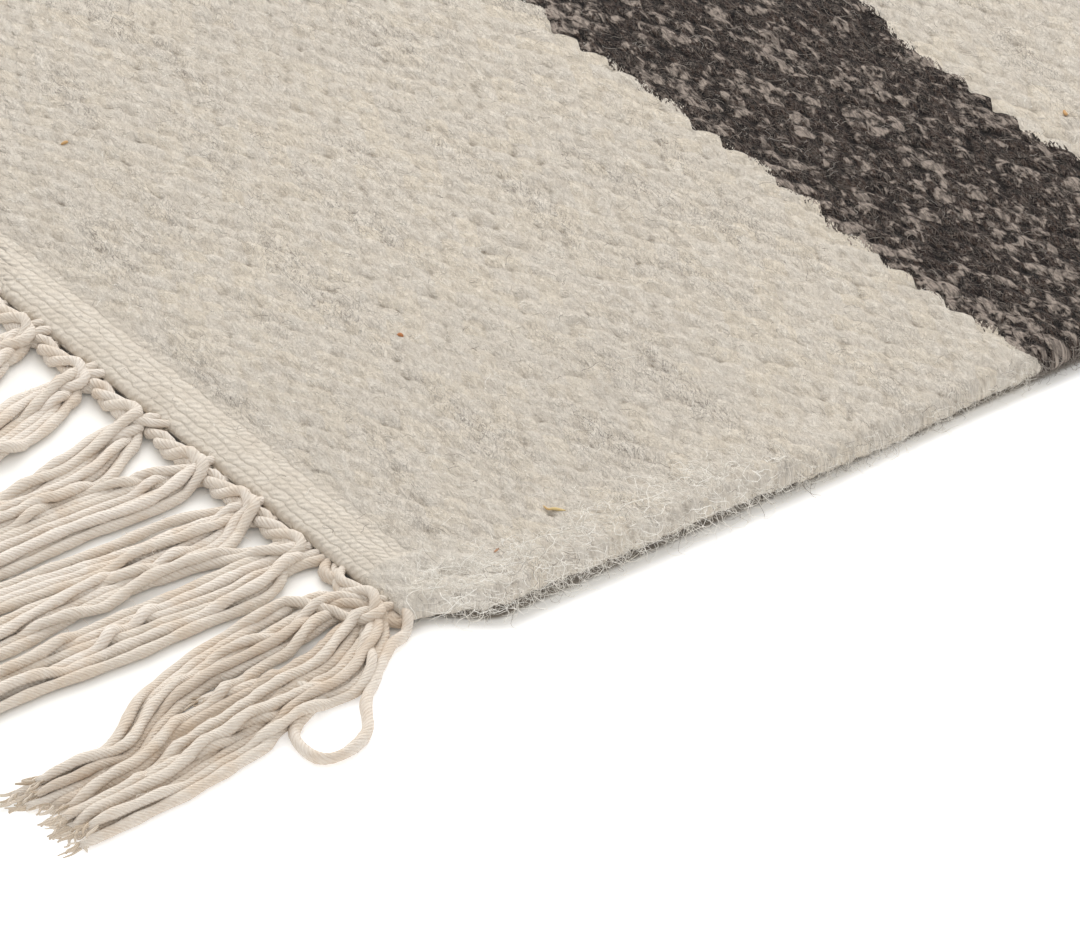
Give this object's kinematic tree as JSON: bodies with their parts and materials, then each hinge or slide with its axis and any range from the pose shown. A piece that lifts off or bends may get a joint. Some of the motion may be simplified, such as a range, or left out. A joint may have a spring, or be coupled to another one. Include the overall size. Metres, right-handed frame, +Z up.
{
  "type": "striped flatwoven wool rug",
  "caption": "Small flatwoven wool rug, cream with dark brown cross stripes, cotton end bands and a knotted tassel fringe at each end.",
  "frame": {"origin": "on the floor under the middle of the rug", "axes": "+Y along the rug's length, from fringe to fringe; +Z up"},
  "size_m": [0.6144, 1.0496, 0.0045],
  "materials": {
    "wool_cloth": "weft-faced handspun wool, heathered cream with dark brown stripes, matt",
    "cotton_fringe": "undyed cabled cotton warp yarn, matt"
  },
  "bodies": {
    "root": {"rug_cloth": "wool_cloth", "fringe_front": "cotton_fringe", "fringe_back": "cotton_fringe"}
  },
  "joints": []
}
